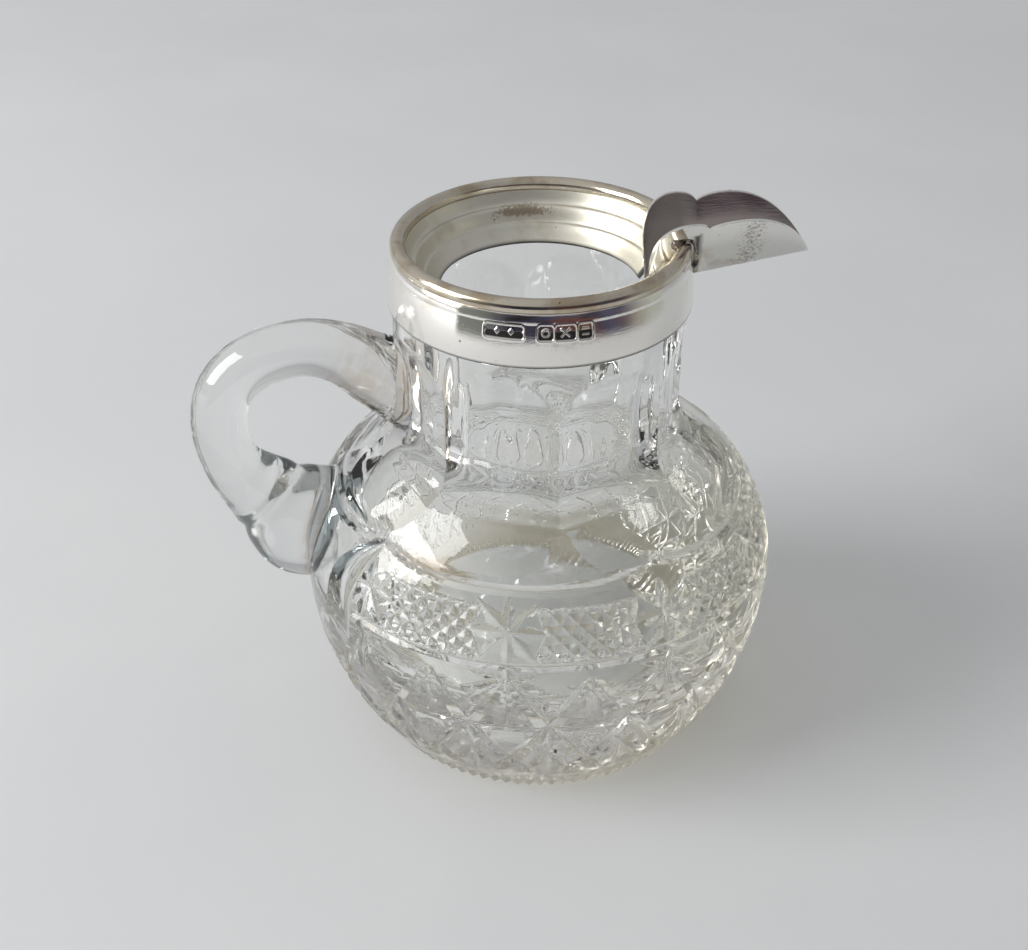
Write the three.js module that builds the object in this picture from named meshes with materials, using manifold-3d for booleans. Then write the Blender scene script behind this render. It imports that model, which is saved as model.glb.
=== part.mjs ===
// Cream jug: a blown and cut glass body with an applied glass handle, and a silver mount made of
// a collar, a rim wire, a stepped lining and a pointed pouring lip, bedded on the neck in plaster.
// Millimetres, +Z up. The origin is at the centre of the base, the lip points along +X and the
// handle along -X.
import * as THREE from "three";
import { mergeVertices } from "three/addons/utils/BufferGeometryUtils.js";
import Module from "manifold-3d";

const wasm = await Module();
wasm.setup();

// Glass body
const footRadius = 28.7;
const bellyRadius = 40;
const bellyHeight = 30.8; // height of the widest place
const shoulderRise = 24.4; // from the widest place up to the neck
const neckLength = 23.4; // from the shoulder to the collar
const neckRadius = 23.6;
const neckWall = 6.6;
const bellyWall = 4;
const floorThickness = 7;
const fluteCount = 8; // flat flutes round the neck and shoulder
const fluteArch = 8; // height over which a flute runs out below the collar
const fluteStart = 3; // plain glass between the collar and the top of a flute
const grooveDepth = 0.8;
const grooveHalfHeight = 0.9;
const beltStart = 4; // from the widest place up to the groove under the diamond belt
const beltWidth = 10.8; // from that groove to the one under the shoulder facets
const footNotches = 40; // prism cuts round the foot
const footNotchDepth = 1.3;
const footNotchHeight = 6;

// Silver mount
const mountHeight = 10.5; // from the collar's lower edge to the top of the rim
const collarStandOff = 0.4; // how far the collar stands out from the neck
const silverWall = 0.7;
const wireRadius = 1.25; // wire round the rim
const rollWidth = 3; // rounded top of the mount, measured in from the collar
const rollHeight = 3.6; // and down from the rim
const liningWall = 0.6;
const liningDrop = 8.4; // depth of the lining below the rim
const clearance = 0.3; // between pieces that touch or are bonded
const beddingSkirt = 0.8; // plaster between the collar and the neck
const seatDepth = 3.4; // length of neck inside the collar

// Pouring lip: a V of two cheeks that meet along the keel
const lipHalfAngle = THREE.MathUtils.degToRad(27.5);
const keelRise = 2.6; // height of the keel above the collar's lower edge, at the collar
const keelSlope = 0.165;
const lipReach = 18.7; // from the collar to the tip
const lipInset = 6.8; // from the collar to the lip's inner end
const lipCrest = 3; // height of the lobes above the rim
const lipCusp = 1.9; // height of the cusp between the lobes above the rim
const cheekWall = 0.8;
const solderRadius = 0.5;

// Handle
const rodRadius = 4.6;
const handleStandOut = 12.4; // from the belly to the middle of the rod at its furthest
const handleDrop = 7.3; // from the collar down to the middle of the rod at the top of the loop
const padRise = 7.7; // from the widest place up to the middle of the pad
const padHalfHeight = 11;
const padHalfWidth = 6.8;

const columns = 80; // steps round the body
const mountSteps = 60; // steps round each silver ring

// Sizes that follow from those above
const shoulderHeight = bellyHeight + shoulderRise;
const beltBottom = bellyHeight + beltStart;
const beltTop = beltBottom + beltWidth;
const facetEnd = beltTop + 2 * grooveHalfHeight;
const collarBottom = shoulderHeight + neckLength;
const ledge = collarBottom - clearance;
const neckTop = collarBottom + seatDepth;
const rimTop = collarBottom + mountHeight;
const collarRadius = neckRadius + collarStandOff;
const seatRadius = collarRadius - silverWall - 2 * clearance - beddingSkirt;
const neckBore = neckRadius - neckWall;
const liningMouth = neckBore - liningWall - 2 * clearance;
const handleReach = bellyRadius + handleStandOut;
const handleTop = collarBottom - handleDrop;
const padHeight = bellyHeight + padRise;

// ---------------------------------------------------------------- helpers

function bare(geometry) {
  const g = geometry.index ? geometry : geometry.clone();
  g.deleteAttribute("normal");
  g.deleteAttribute("uv");
  return mergeVertices(g, 1e-4);
}

// A geometry that a matrix has mirrored has its faces turned round again.
function toSolid(geometry, mirrored = false) {
  const g = bare(geometry);
  const triVerts = new Uint32Array(g.index.array);
  if (mirrored) triVerts.reverse();
  const vertProperties = new Float32Array(g.attributes.position.array);
  return new wasm.Manifold(new wasm.Mesh({ numProp: 3, vertProperties, triVerts }));
}

function toGeometry(solid) {
  const mesh = solid.getMesh();
  const g = new THREE.BufferGeometry();
  g.setAttribute("position", new THREE.BufferAttribute(new Float32Array(mesh.vertProperties), 3));
  g.setIndex(new THREE.BufferAttribute(new Uint32Array(mesh.triVerts), 1));
  const flat = g.toNonIndexed();
  flat.computeVertexNormals();
  return flat;
}

// Turns an outline of [radius, height] pairs about the Z axis.
function turned(outline, steps, closed) {
  const loop = closed ? [...outline, outline[0]] : outline;
  const points = loop.map(([r, z]) => new THREE.Vector2(r, z));
  const g = new THREE.LatheGeometry(points, steps);
  g.rotateX(Math.PI / 2);
  return g;
}

function lerp(a, b, t) {
  return a + (b - a) * t;
}

// ---------------------------------------------------------------- shape of the glass

// Radius of the plain blown body. Above and below its widest place it is part of an ellipse
// that passes through the foot or the foot of the neck.
function bellyAt(z) {
  const endRadius = z < bellyHeight ? footRadius : neckRadius;
  const span = z < bellyHeight ? bellyHeight : shoulderHeight - bellyHeight;
  const semiHeight = span / Math.sqrt(1 - (endRadius / bellyRadius) ** 2);
  return bellyRadius * Math.sqrt(1 - ((z - bellyHeight) / semiHeight) ** 2);
}

function plainRadius(z) {
  return z < shoulderHeight ? bellyAt(z) : neckRadius;
}

// Share of a full flat that the cutter has taken off at this height: 1 on the neck, running out
// under the collar and at the lower end of the shoulder facets.
function fluteShare(z) {
  const top = collarBottom - fluteStart;
  if (z >= top || z <= facetEnd) return 0;
  if (z > top - fluteArch) return 1 - ((z - top + fluteArch) / fluteArch) ** 2;
  if (z < shoulderHeight) return Math.sqrt((z - facetEnd) / (shoulderHeight - facetEnd));
  return 1;
}

// Horizontal section of the body: the plain circle cut back to the flats.
function fluted(radius, angle, z) {
  const pitch = (2 * Math.PI) / fluteCount;
  const fromMiddle = ((((angle / pitch) % 1) + 1) % 1) * pitch - pitch / 2;
  const apothem = radius * lerp(1, Math.cos(pitch / 2), fluteShare(z));
  return Math.min(radius, apothem / Math.cos(fromMiddle));
}

// Prism cuts round the edge of the foot, deepest at the very bottom.
function footCut(angle, z) {
  if (z > footNotchHeight) return 0;
  const phase = (((angle / (2 * Math.PI)) * footNotches) % 1 + 1) % 1;
  return footNotchDepth * (1 - z / footNotchHeight) * (1 - Math.abs(2 * phase - 1));
}

// ---------------------------------------------------------------- outlines of the mount

const wireCentre = [collarRadius - rollWidth + wireRadius, rimTop - wireRadius];

// A point beside the rim wire, a clearance away, at an angle from straight outwards.
function wireSeat(degrees) {
  const a = THREE.MathUtils.degToRad(degrees);
  const r = wireRadius + clearance;
  return [wireCentre[0] + r * Math.cos(a), wireCentre[1] + r * Math.sin(a)];
}

// Lining: three bands, each a little narrower than the one above, ending in a lip in the bore.
const liningBottom = rimTop - liningDrop;
const liningTop = wireSeat(205);
// Each pair is a share of the way from the lower edge to the top: across, then up.
const liningShape = [
  [0, 0],
  [0.26, 0.2],
  [0.4, 0.34],
  [0.5, 0.38],
  [0.68, 0.68],
  [0.84, 0.72],
];
const liningInside = [
  ...liningShape.map(([across, rise]) => [
    lerp(liningMouth, liningTop[0], across),
    lerp(liningBottom, liningTop[1], rise),
  ]),
  liningTop,
];

// Moves an outline sideways by a distance, to its right when followed from first to last.
function offsetLine(line, distance) {
  return line.map((point, i) => {
    const before = line[Math.max(i - 1, 0)];
    const after = line[Math.min(i + 1, line.length - 1)];
    const dr = after[0] - before[0];
    const dz = after[1] - before[1];
    const length = Math.hypot(dr, dz);
    return [point[0] + (dz / length) * distance, point[1] - (dr / length) * distance];
  });
}

const liningOutside = [...offsetLine(liningInside, liningWall).slice(0, -1), wireSeat(236)];

// ---------------------------------------------------------------- the lip's trough

const keelAt = (x) => collarBottom + keelRise + (x - collarRadius) * keelSlope;
const tipX = collarRadius + lipReach;
const innerX = collarRadius - lipInset;

// Everything inside the V, opened out by a margin, as one wedge. It cuts the way for the lip
// through the collar, the wire, the lining, the plaster and the top of the neck.
function lipWedge(margin) {
  const reach = 14;
  const start = innerX - 4;
  const side = reach * Math.tan(lipHalfAngle) + margin / Math.cos(lipHalfAngle);
  const low = margin / Math.sin(lipHalfAngle);
  const section = new THREE.Shape([
    new THREE.Vector2(0, -low),
    new THREE.Vector2(side, reach),
    new THREE.Vector2(-side, reach),
  ]);
  const g = new THREE.ExtrudeGeometry(section, { depth: tipX - start, bevelEnabled: false });
  // The section's plane stands across X, with its height along Z.
  const place = new THREE.Matrix4().set(0, 0, 1, start, 1, 0, 0, 0, 0, 1, 0, 0, 0, 0, 0, 1);
  g.applyMatrix4(place);
  const slope = new THREE.Matrix4();
  slope.set(1, 0, 0, 0, 0, 1, 0, 0, keelSlope, 0, 1, keelAt(0), 0, 0, 0, 1);
  return toSolid(g.applyMatrix4(slope));
}

const wallAcross = cheekWall / Math.cos(lipHalfAngle);
const lipWay = lipWedge(cheekWall + clearance);

// ---------------------------------------------------------------- pieces

function glassBody() {
  const outside = [[0, 0], [footRadius - 3, 0]];
  const heights = [];
  const bellyRows = 10;
  const bellyEnd = beltBottom - 2 * grooveHalfHeight;
  for (let i = 0; i <= bellyRows; i += 1) heights.push(lerp(0, bellyEnd, i / bellyRows));
  for (const middle of [beltBottom, beltTop]) {
    heights.push(middle - grooveHalfHeight, middle, middle + grooveHalfHeight);
    if (middle === beltBottom) heights.push(lerp(beltBottom, beltTop, 0.35), lerp(beltBottom, beltTop, 0.65));
  }
  const facetRows = 4;
  for (let i = 0; i <= facetRows; i += 1) heights.push(lerp(facetEnd, shoulderHeight, i / facetRows));
  const archTop = collarBottom - fluteStart;
  heights.push(archTop - fluteArch);
  for (const share of [0.35, 0.6, 0.8, 1]) heights.push(lerp(archTop - fluteArch, archTop, share));
  for (const z of heights) {
    const inGroove = Math.min(Math.abs(z - beltBottom), Math.abs(z - beltTop)) < 1e-6;
    outside.push([plainRadius(z) - (inGroove ? grooveDepth : 0), z]);
  }
  outside.push([neckRadius, ledge], [seatRadius, ledge], [seatRadius, neckTop]);

  const chamfer = offsetLine(liningInside, liningWall + clearance);
  const chamferTop = chamfer.filter(([, z]) => z < neckTop).at(-1);
  const inside = [[chamferTop[0] + (neckTop - chamferTop[1]), neckTop], [neckBore, liningBottom]];
  const innerRows = 10;
  const innerBelly = bellyRadius - bellyWall;
  const bulge = shoulderHeight - bellyHeight;
  const boreShare = Math.asin(Math.sqrt(1 - (neckBore / innerBelly) ** 2));
  for (let i = 0; i <= innerRows; i += 1) {
    const turn = lerp(boreShare, -Math.PI / 2, i / innerRows);
    const rise = turn > 0 ? bulge / Math.sin(boreShare) : bellyHeight - floorThickness;
    inside.push([innerBelly * Math.cos(turn), bellyHeight + rise * Math.sin(turn)]);
  }
  inside.at(-1)[0] = 0;

  const g = turned([...outside, ...inside], columns, false);
  const p = g.attributes.position;
  const outsideCount = outside.length;
  const perColumn = outside.length + inside.length;
  for (let i = 0; i < p.count; i += 1) {
    if (i % perColumn >= outsideCount - 3) continue;
    const angle = Math.atan2(p.getY(i), p.getX(i));
    const radius = Math.hypot(p.getX(i), p.getY(i));
    const z = p.getZ(i);
    const atEdge = radius > footRadius - 1;
    const cut = fluted(radius, angle, z) - (atEdge ? footCut(angle, z) : 0);
    const share = radius > 0 ? cut / radius : 1;
    p.setXY(i, p.getX(i) * share, p.getY(i) * share);
  }
  return toGeometry(toSolid(g).subtract(lipWay));
}

// The rod's middle line, from inside the neck round the loop to inside the belly, with half its
// thickness in the plane of the loop and half its width across it.
function glassHandle() {
  const loopMiddle = lerp(padHeight, handleTop, 0.6);
  const topReach = neckRadius + 14.8;
  const stations = [
    [neckRadius - 3, handleTop - 8.2, 7.4, rodRadius + 1.4],
    [neckRadius + 3, handleTop - 4.6, 6.2, rodRadius + 0.5],
    [neckRadius + 8.6, handleTop - 1.2, 5.1, rodRadius],
    [topReach, handleTop, rodRadius, rodRadius],
    [lerp(topReach, handleReach, 0.52), handleTop - 2, rodRadius, rodRadius],
    [handleReach - 1.7, handleTop - 6.6, rodRadius, rodRadius],
    [handleReach, loopMiddle, rodRadius, rodRadius],
    [handleReach - 1.4, loopMiddle - 7.6, rodRadius + 0.2, rodRadius],
    [handleReach - 6.4, lerp(padHeight, loopMiddle, 0.3), rodRadius + 2.6, rodRadius + 0.6],
    [bellyRadius - 0.6, padHeight, padHalfHeight, padHalfWidth],
    [bellyRadius - 6, padHeight - 1.6, padHalfHeight - 3, padHalfWidth],
  ];
  const curve = new THREE.CatmullRomCurve3(
    stations.map(([reach, z]) => new THREE.Vector3(-reach, 0, z)),
    false,
    "centripetal",
  );
  const sizes = new THREE.CatmullRomCurve3(
    stations.map(([, , thick, wide]) => new THREE.Vector3(thick, wide, 0)),
    false,
    "centripetal",
  );
  const rings = 34;
  const sides = 18;
  const across = new THREE.Vector3(0, 1, 0);
  const positions = [];
  for (let i = 0; i <= rings; i += 1) {
    const middle = curve.getPoint(i / rings);
    const along = curve.getTangent(i / rings);
    const outward = new THREE.Vector3().crossVectors(across, along).normalize();
    const size = sizes.getPoint(i / rings);
    for (let j = 0; j < sides; j += 1) {
      const turn = (2 * Math.PI * j) / sides;
      const point = middle.clone();
      point.addScaledVector(outward, size.x * Math.cos(turn));
      point.addScaledVector(across, size.y * Math.sin(turn));
      positions.push(...point.toArray());
    }
  }
  const faces = [];
  for (let i = 0; i < rings; i += 1) {
    for (let j = 0; j < sides; j += 1) {
      const a = i * sides + j;
      const b = i * sides + ((j + 1) % sides);
      faces.push(a, b, a + sides, b, b + sides, a + sides);
    }
  }
  const last = rings * sides;
  for (let j = 1; j < sides - 1; j += 1) {
    faces.push(0, j + 1, j);
    faces.push(last, last + j, last + j + 1);
  }
  const g = new THREE.BufferGeometry();
  g.setAttribute("position", new THREE.Float32BufferAttribute(positions, 3));
  g.setIndex(faces);
  const envelope = [[0, -5]];
  for (let z = -5; z <= shoulderHeight; z += 2.5) envelope.push([bellyAt(Math.max(z, 0)) + clearance, z]);
  envelope.push([neckRadius + clearance, shoulderHeight], [neckRadius + clearance, rimTop], [0, rimTop]);
  return toGeometry(toSolid(g).subtract(toSolid(turned(envelope, columns, false))));
}

function collarBand() {
  const roll = [];
  const rollSteps = 5;
  const topOutside = wireSeat(-25);
  const rollBase = rimTop - rollHeight;
  const rollEnd = Math.asin((topOutside[1] - rollBase) / rollHeight);
  const depth = (collarRadius - topOutside[0]) / (1 - Math.cos(rollEnd));
  for (let i = 0; i <= rollSteps; i += 1) {
    const turn = (rollEnd * i) / rollSteps;
    roll.push([collarRadius - depth * (1 - Math.cos(turn)), rollBase + rollHeight * Math.sin(turn)]);
  }
  const outline = [
    [collarRadius - silverWall, collarBottom],
    [collarRadius - 0.15, collarBottom],
    [collarRadius, collarBottom + 0.6],
    ...roll,
    wireSeat(-45),
    wireSeat(-62),
    [collarRadius - silverWall, rollBase],
  ];
  return toGeometry(toSolid(turned(outline, mountSteps, true)).subtract(lipWay));
}

function rimWire() {
  const sides = 12;
  const outline = [];
  for (let i = 0; i < sides; i += 1) {
    const turn = (2 * Math.PI * i) / sides;
    outline.push([
      wireCentre[0] + wireRadius * Math.cos(turn),
      wireCentre[1] + wireRadius * Math.sin(turn),
    ]);
  }
  return toGeometry(toSolid(turned(outline, mountSteps, true)).subtract(lipWay));
}

function innerLining() {
  const outline = [...liningOutside, ...[...liningInside].reverse()];
  return toGeometry(toSolid(turned(outline, mountSteps, true)).subtract(lipWay));
}

function beddingRing() {
  const slope = offsetLine(liningInside, liningWall + clearance);
  const floor = neckTop + clearance;
  const face = slope.filter(([, z]) => z > floor + 0.2);
  const first = slope[slope.length - face.length - 1];
  const t = (floor - first[1]) / (face[0][1] - first[1]);
  const outer = collarRadius - silverWall - clearance;
  const outline = [
    [outer, ledge + 2 * clearance],
    [outer, rimTop - rollHeight],
    ...face.filter(([, z]) => z < rimTop - rollHeight + 0.5).reverse(),
    [lerp(first[0], face[0][0], t), floor],
    [seatRadius + clearance, floor],
    [seatRadius + clearance, ledge + 2 * clearance],
  ];
  return toGeometry(toSolid(turned(outline, mountSteps, true)).subtract(lipWedge(cheekWall + 2 * clearance)));
}

// One cheek, drawn from the side with its keel edge straight, then leaned out from the keel.
function cheek(side) {
  const crest = rimTop + lipCrest;
  const cusp = rimTop + lipCusp;
  const keelGap = clearance / 2 + wallAcross;
  const lift = clearance / 2 / Math.tan(lipHalfAngle);
  const outline = new THREE.Shape();
  const smallLobe = collarRadius - 1.3;
  const cuspX = collarRadius + 1.7;
  const bigLobe = collarRadius + 6.9;
  outline.moveTo(innerX, keelAt(innerX) + lift);
  outline.lineTo(innerX - 0.3, rimTop - 4.4);
  outline.bezierCurveTo(innerX - 0.4, rimTop - 1, innerX + 0.8, crest, smallLobe, crest);
  outline.bezierCurveTo(smallLobe + 1.5, crest, cuspX - 0.6, cusp + 0.8, cuspX, cusp);
  outline.bezierCurveTo(cuspX + 0.7, cusp + 0.5, bigLobe - 3, crest, bigLobe, crest + 0.1);
  outline.bezierCurveTo(bigLobe + 6.2, crest + 0.2, tipX - 2, keelAt(tipX) + 4.2, tipX, keelAt(tipX) + lift);
  outline.closePath();
  const g = new THREE.ExtrudeGeometry(outline, {
    depth: wallAcross,
    bevelEnabled: false,
    curveSegments: 10,
  });
  // The outline's plane becomes the XZ plane; its thickness goes away from the keel.
  g.applyMatrix4(new THREE.Matrix4().set(1, 0, 0, 0, 0, 0, side, 0, 0, 1, 0, 0, 0, 0, 0, 1));
  const lean = side * Math.tan(lipHalfAngle);
  const leaned = new THREE.Matrix4();
  leaned.set(1, 0, 0, 0, -lean * keelSlope, 1, lean, -lean * keelAt(0), 0, 0, 1, 0, 0, 0, 0, 1);
  g.applyMatrix4(leaned);
  return toGeometry(toSolid(g, side > 0));
}

// Solder drawn along the corner between a cheek's outer face and the mount: up the outside of
// the collar, over the wire and a little way down the lining.
function solderSeam(side) {
  const away = clearance + solderRadius;
  const outer = collarRadius + away;
  const top = wireCentre[1] + wireRadius + away;
  const inner = wireCentre[0] - wireRadius - away;
  const route = [
    [outer, keelAt(outer) + 1.2],
    [outer, lerp(keelAt(outer), rimTop - rollHeight, 0.5)],
    [outer, rimTop - rollHeight],
    [outer - 0.5, rimTop - rollHeight * 0.4],
    [wireCentre[0] + 1, top - 0.2],
    [wireCentre[0], top],
    [inner + 0.5, top - 0.8],
    [inner, wireCentre[1]],
  ];
  const beside = wallAcross + (clearance + solderRadius) / Math.cos(lipHalfAngle);
  const points = route.map(([r, z]) => {
    const y = (z - keelAt(r)) * Math.tan(lipHalfAngle) + beside;
    return new THREE.Vector3(Math.sqrt(r * r - y * y), side * y, z);
  });
  const section = new THREE.Shape();
  section.absarc(0, 0, solderRadius, 0, 2 * Math.PI);
  const g = new THREE.ExtrudeGeometry(section, {
    extrudePath: new THREE.CatmullRomCurve3(points, false, "centripetal"),
    steps: 22,
    curveSegments: 4,
    bevelEnabled: false,
  });
  return toGeometry(toSolid(g));
}

// ---------------------------------------------------------------- assembly

const clearGlass = { color: 0xe6eae4, roughness: 0.02, metalness: 0, transparent: true, opacity: 0.45 };
const sterling = { color: 0xd9d6cd, roughness: 0.16, metalness: 1 };
const tarnished = { color: 0xb59f78, roughness: 0.24, metalness: 1 };
const plaster = { color: 0xe9e3d4, roughness: 0.9, metalness: 0 };
const solder = { color: 0x8d8479, roughness: 0.4, metalness: 1 };

const group = new THREE.Group();

function addPiece(name, geometry, finish) {
  const mesh = new THREE.Mesh(geometry, new THREE.MeshStandardMaterial(finish));
  mesh.name = name;
  group.add(mesh);
}

addPiece("glass_body", glassBody(), clearGlass);
addPiece("glass_handle", glassHandle(), clearGlass);
addPiece("collar_band", collarBand(), sterling);
addPiece("rim_wire", rimWire(), tarnished);
addPiece("inner_lining", innerLining(), sterling);
addPiece("bedding_ring", beddingRing(), plaster);
for (const [name, side] of [["left", 1], ["right", -1]]) {
  addPiece(`spout_cheek_${name}`, cheek(side), sterling);
  addPiece(`solder_seam_${name}`, solderSeam(side), solder);
}

export default group;
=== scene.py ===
import math

import bmesh
import bpy
import numpy as np
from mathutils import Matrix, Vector


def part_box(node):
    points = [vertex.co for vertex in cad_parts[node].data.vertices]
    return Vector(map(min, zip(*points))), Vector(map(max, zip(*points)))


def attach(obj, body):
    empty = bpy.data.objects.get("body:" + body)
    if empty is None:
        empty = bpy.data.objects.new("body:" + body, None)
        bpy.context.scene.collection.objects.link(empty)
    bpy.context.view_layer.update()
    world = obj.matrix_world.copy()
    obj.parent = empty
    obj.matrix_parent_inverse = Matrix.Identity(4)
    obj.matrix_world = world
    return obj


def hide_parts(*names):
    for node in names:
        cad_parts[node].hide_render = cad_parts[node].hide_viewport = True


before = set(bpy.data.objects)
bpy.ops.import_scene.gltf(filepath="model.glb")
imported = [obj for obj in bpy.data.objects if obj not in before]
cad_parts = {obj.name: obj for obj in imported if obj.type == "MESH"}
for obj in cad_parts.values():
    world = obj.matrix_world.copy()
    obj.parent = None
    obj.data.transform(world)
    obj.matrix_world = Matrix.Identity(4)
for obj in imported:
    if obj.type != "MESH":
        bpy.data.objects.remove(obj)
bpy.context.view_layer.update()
mm = 0.001


class Wire:
    # a shader output that takes part in plain arithmetic
    def __init__(self, tree, socket):
        self.tree = tree
        self.socket = socket

    def maths(self, operation, first, second):
        node = self.tree.nodes.new("ShaderNodeMath")
        node.operation = operation
        feed(self.tree, node.inputs[0], first)
        feed(self.tree, node.inputs[1], second)
        return Wire(self.tree, node.outputs[0])

    def __add__(self, other):
        return self.maths("ADD", self, other)

    def __radd__(self, other):
        return self.maths("ADD", other, self)

    def __sub__(self, other):
        return self.maths("SUBTRACT", self, other)

    def __rsub__(self, other):
        return self.maths("SUBTRACT", other, self)

    def __mul__(self, other):
        return self.maths("MULTIPLY", self, other)

    def __rmul__(self, other):
        return self.maths("MULTIPLY", other, self)


def feed(tree, socket, value):
    if isinstance(value, Wire):
        tree.links.new(value.socket, socket)
    else:
        socket.default_value = value


class Finish:
    def __init__(self, name, tree=None):
        if tree is None:
            self.material = bpy.data.materials.new(name)
            self.material.use_nodes = True
            tree = self.material.node_tree
        self.tree = tree
        self.tree.nodes.clear()

    def node(self, kind, settings=None, sockets=None, out=0):
        node = self.tree.nodes.new(kind)
        for key, value in (settings or {}).items():
            if key == "stops":
                ramp = node.color_ramp
                while len(ramp.elements) < len(value):
                    ramp.elements.new(0.5)
                for element, (place, colour) in zip(ramp.elements, value):
                    element.position = place
                    element.color = colour
            else:
                setattr(node, key, value)
        for key, value in (sockets or {}).items():
            feed(self.tree, node.inputs[key], value)
        return Wire(self.tree, node.outputs[out]) if len(node.outputs) else None

    def place(self):
        return self.node("ShaderNodeTexCoord", out="Object")

    def noise(self, scale, detail=4, stretch=(1, 1, 1), roughness=0.55):
        # scale is in patches to the millimetre
        spot = self.node("ShaderNodeMapping", None, {"Vector": self.place(), "Scale": stretch})
        sockets = {"Vector": spot, "Scale": scale / mm, "Detail": detail, "Roughness": roughness}
        return self.node("ShaderNodeTexNoise", None, sockets, "Fac")

    def spots(self, scale, threshold, soft=0.06):
        # scattered small marks, 1 on a mark and 0 beside it
        found = self.noise(scale, 2)
        limits = {"Value": found, "From Min": threshold, "From Max": threshold + soft}
        return self.node("ShaderNodeMapRange", None, limits)

    def span(self, value, low, high, start=0.0, end=1.0):
        sockets = {"Value": value, "From Min": low, "From Max": high, "To Min": start, "To Max": end}
        return self.node("ShaderNodeMapRange", {"interpolation_type": "SMOOTHSTEP"}, sockets)

    def mix(self, share, first, second):
        sockets = {0: share, 6: first, 7: second}
        return self.node("ShaderNodeMix", {"data_type": "RGBA"}, sockets, 2)

    def painted(self, name):
        # a value that the mesh carries at its vertices
        return self.node("ShaderNodeAttribute", {"attribute_name": name}, None, "Fac")

    def height(self):
        return self.node("ShaderNodeSeparateXYZ", None, {0: self.place()}, "Z")

    def bump(self, value, depth, under=None, invert=False):
        # depth in metres; under is the relief that this one lies on
        sockets = {"Height": value, "Distance": depth}
        if under is not None:
            sockets["Normal"] = under
        return self.node("ShaderNodeBump", {"invert": invert}, sockets, "Normal")

    def along(self, vector, direction):
        sockets = {0: vector, 1: direction}
        return self.node("ShaderNodeVectorMath", {"operation": "DOT_PRODUCT"}, sockets, "Value")

    def close(self, sockets, through=None):
        # through is the share of a lamp's light that gets through one skin of the piece
        surface = self.node("ShaderNodeBsdfPrincipled", None, sockets, "BSDF")
        if through is not None:
            fromLamp = self.node("ShaderNodeLightPath", out="Is Shadow Ray")
            clear = self.node("ShaderNodeBsdfTransparent", None, {"Color": glassTint["shadow"]})
            shares = {0: fromLamp * through, 1: surface, 2: clear}
            surface = self.node("ShaderNodeMixShader", None, shares)
        self.node("ShaderNodeOutputMaterial", None, {"Surface": surface})
        return self.material


def placed(name, data):
    thing = bpy.data.objects.new(name, data)
    bpy.context.collection.objects.link(thing)
    return thing


def shadeSmooth(mesh, sharp):
    mesh.polygons.foreach_set("use_smooth", [True] * len(mesh.polygons))
    mesh.set_sharp_from_angle(angle=math.radians(sharp))


def faceOutward(mesh, dropSlivers=False):
    bm = bmesh.new()
    bm.from_mesh(mesh)
    bmesh.ops.recalc_face_normals(bm, faces=bm.faces)
    if dropSlivers:
        bmesh.ops.dissolve_degenerate(bm, dist=1e-6, edges=bm.edges)
    bm.to_mesh(mesh)
    bm.free()


def dressed(name, mesh, material, sharp):
    mesh.materials.append(material)
    shadeSmooth(mesh, sharp)
    piece = placed(name, mesh)
    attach(piece, "root")
    return piece


def newPiece(name, points, faces, material, sharp):
    # points in millimetres, faces as lists of corners
    mesh = bpy.data.meshes.new(name)
    mesh.from_pydata((points * mm).tolist(), [], faces)
    mesh.validate()
    return dressed(name, mesh, material, sharp)


def vertexPlaces(piece):
    spots = np.zeros(len(piece.data.vertices) * 3)
    piece.data.vertices.foreach_get("co", spots)
    return spots.reshape(-1, 3) / mm


def paint(piece, name, values):
    # one value to each vertex, which the finishes read by its name
    layer = piece.data.attributes.new(name, "FLOAT", "POINT")
    layer.data.foreach_set("value", np.asarray(values, np.float32))


def aroundQuads(rows, columns, closed=False):
    # quads between rings of points, each ring round the whole axis
    first = np.arange(rows if closed else rows - 1)[:, None] * columns
    second = (first + columns) % (rows * columns)
    here = np.arange(columns)[None, :]
    after = (here + 1) % columns
    return np.stack([first + here, first + after, second + after, second + here], -1).reshape(-1, 4)


def wholeTurn(sides):
    return np.linspace(0, 2 * np.pi, sides, endpoint=False)


def degreesOf(points):
    return np.degrees(np.arctan2(points[:, 1], points[:, 0]))


def reachOf(points):
    # distance from the jug's axis
    return np.hypot(points[:, 0], points[:, 1])


def unitRows(vectors):
    return vectors / np.linalg.norm(vectors, axis=1)[:, None]


def capped(share):
    return np.clip(share, 0, 1)


def hump(distance, width):
    return np.exp(-(distance / width) ** 2)


def endFans(rings, sides):
    # triangles that close the first and last ring to two middle points, which come after the rings
    here = np.arange(sides)
    after = (here + 1) % sides
    last = rings * sides
    top = last - sides
    lowFan = np.stack([here * 0 + last, after, here], -1)
    highFan = np.stack([here * 0 + last + 1, top + here, top + after], -1)
    return np.vstack([lowFan, highFan])


def sheetQuads(rows, columns):
    corner = np.arange(rows * columns).reshape(rows, columns)
    quads = [corner[:-1, :-1], corner[:-1, 1:], corner[1:, 1:], corner[1:, :-1]]
    return np.stack(quads, -1).reshape(-1, 4)


def turnedPoints(outline, angles):
    radius, height = np.array(outline).T
    x = radius[:, None] * np.cos(angles)
    y = radius[:, None] * np.sin(angles)
    z = np.broadcast_to(height[:, None], x.shape)
    return np.stack([x, y, z], -1)


def cutAway(piece, cutter):
    # the boolean is applied to the mesh, so the cutter isn't needed afterwards
    modifier = piece.modifiers.new("cut", "BOOLEAN")
    modifier.operation = "DIFFERENCE"
    modifier.solver = "MANIFOLD"
    modifier.object = cutter
    bpy.context.view_layer.update()
    done = piece.evaluated_get(bpy.context.evaluated_depsgraph_get())
    mesh = bpy.data.meshes.new_from_object(done)
    piece.modifiers.clear()
    old = piece.data
    piece.data = mesh
    bpy.data.meshes.remove(old)


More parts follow.
